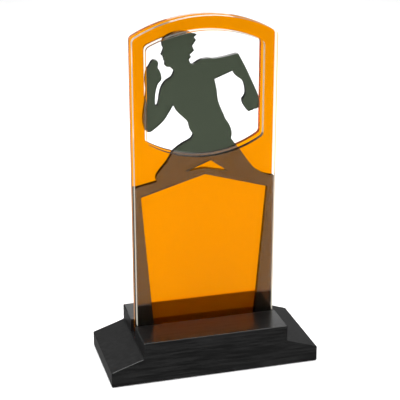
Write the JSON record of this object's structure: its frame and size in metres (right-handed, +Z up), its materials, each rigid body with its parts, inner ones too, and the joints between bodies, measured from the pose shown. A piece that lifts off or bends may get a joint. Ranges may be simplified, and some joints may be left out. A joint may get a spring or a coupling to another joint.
{
  "type": "figure trophy",
  "caption": "Award with a running figure cut in smoked acrylic between a clear and an orange arched sheet, upright in a slotted black wooden base.",
  "frame": {"origin": "on the surface the trophy stands on, below the middle of the wooden base", "axes": "+X to the right along the base, +Y to the rear, +Z up; the clear sheet faces -Y"},
  "size_m": [0.116, 0.052, 0.1919],
  "materials": {
    "black_wood": "black stain under satin lacquer, fine grain along the length",
    "adhesive": "cured dark adhesive",
    "clear_acrylic": "clear acrylic sheet, polished laser-cut edges",
    "smoked_acrylic": "smoked grey acrylic sheet, polished laser-cut edges",
    "orange_acrylic": "transparent orange acrylic sheet, polished laser-cut edges",
    "felt": "black wool felt, matte"
  },
  "bodies": {
    "root": {"base": "black_wood", "glue_bed": "adhesive", "front_sheet": "clear_acrylic", "runner_sheet": "smoked_acrylic", "rear_sheet": "orange_acrylic", "foot_front_left": "felt", "foot_front_right": "felt", "foot_rear_left": "felt", "foot_rear_right": "felt"}
  },
  "joints": []
}
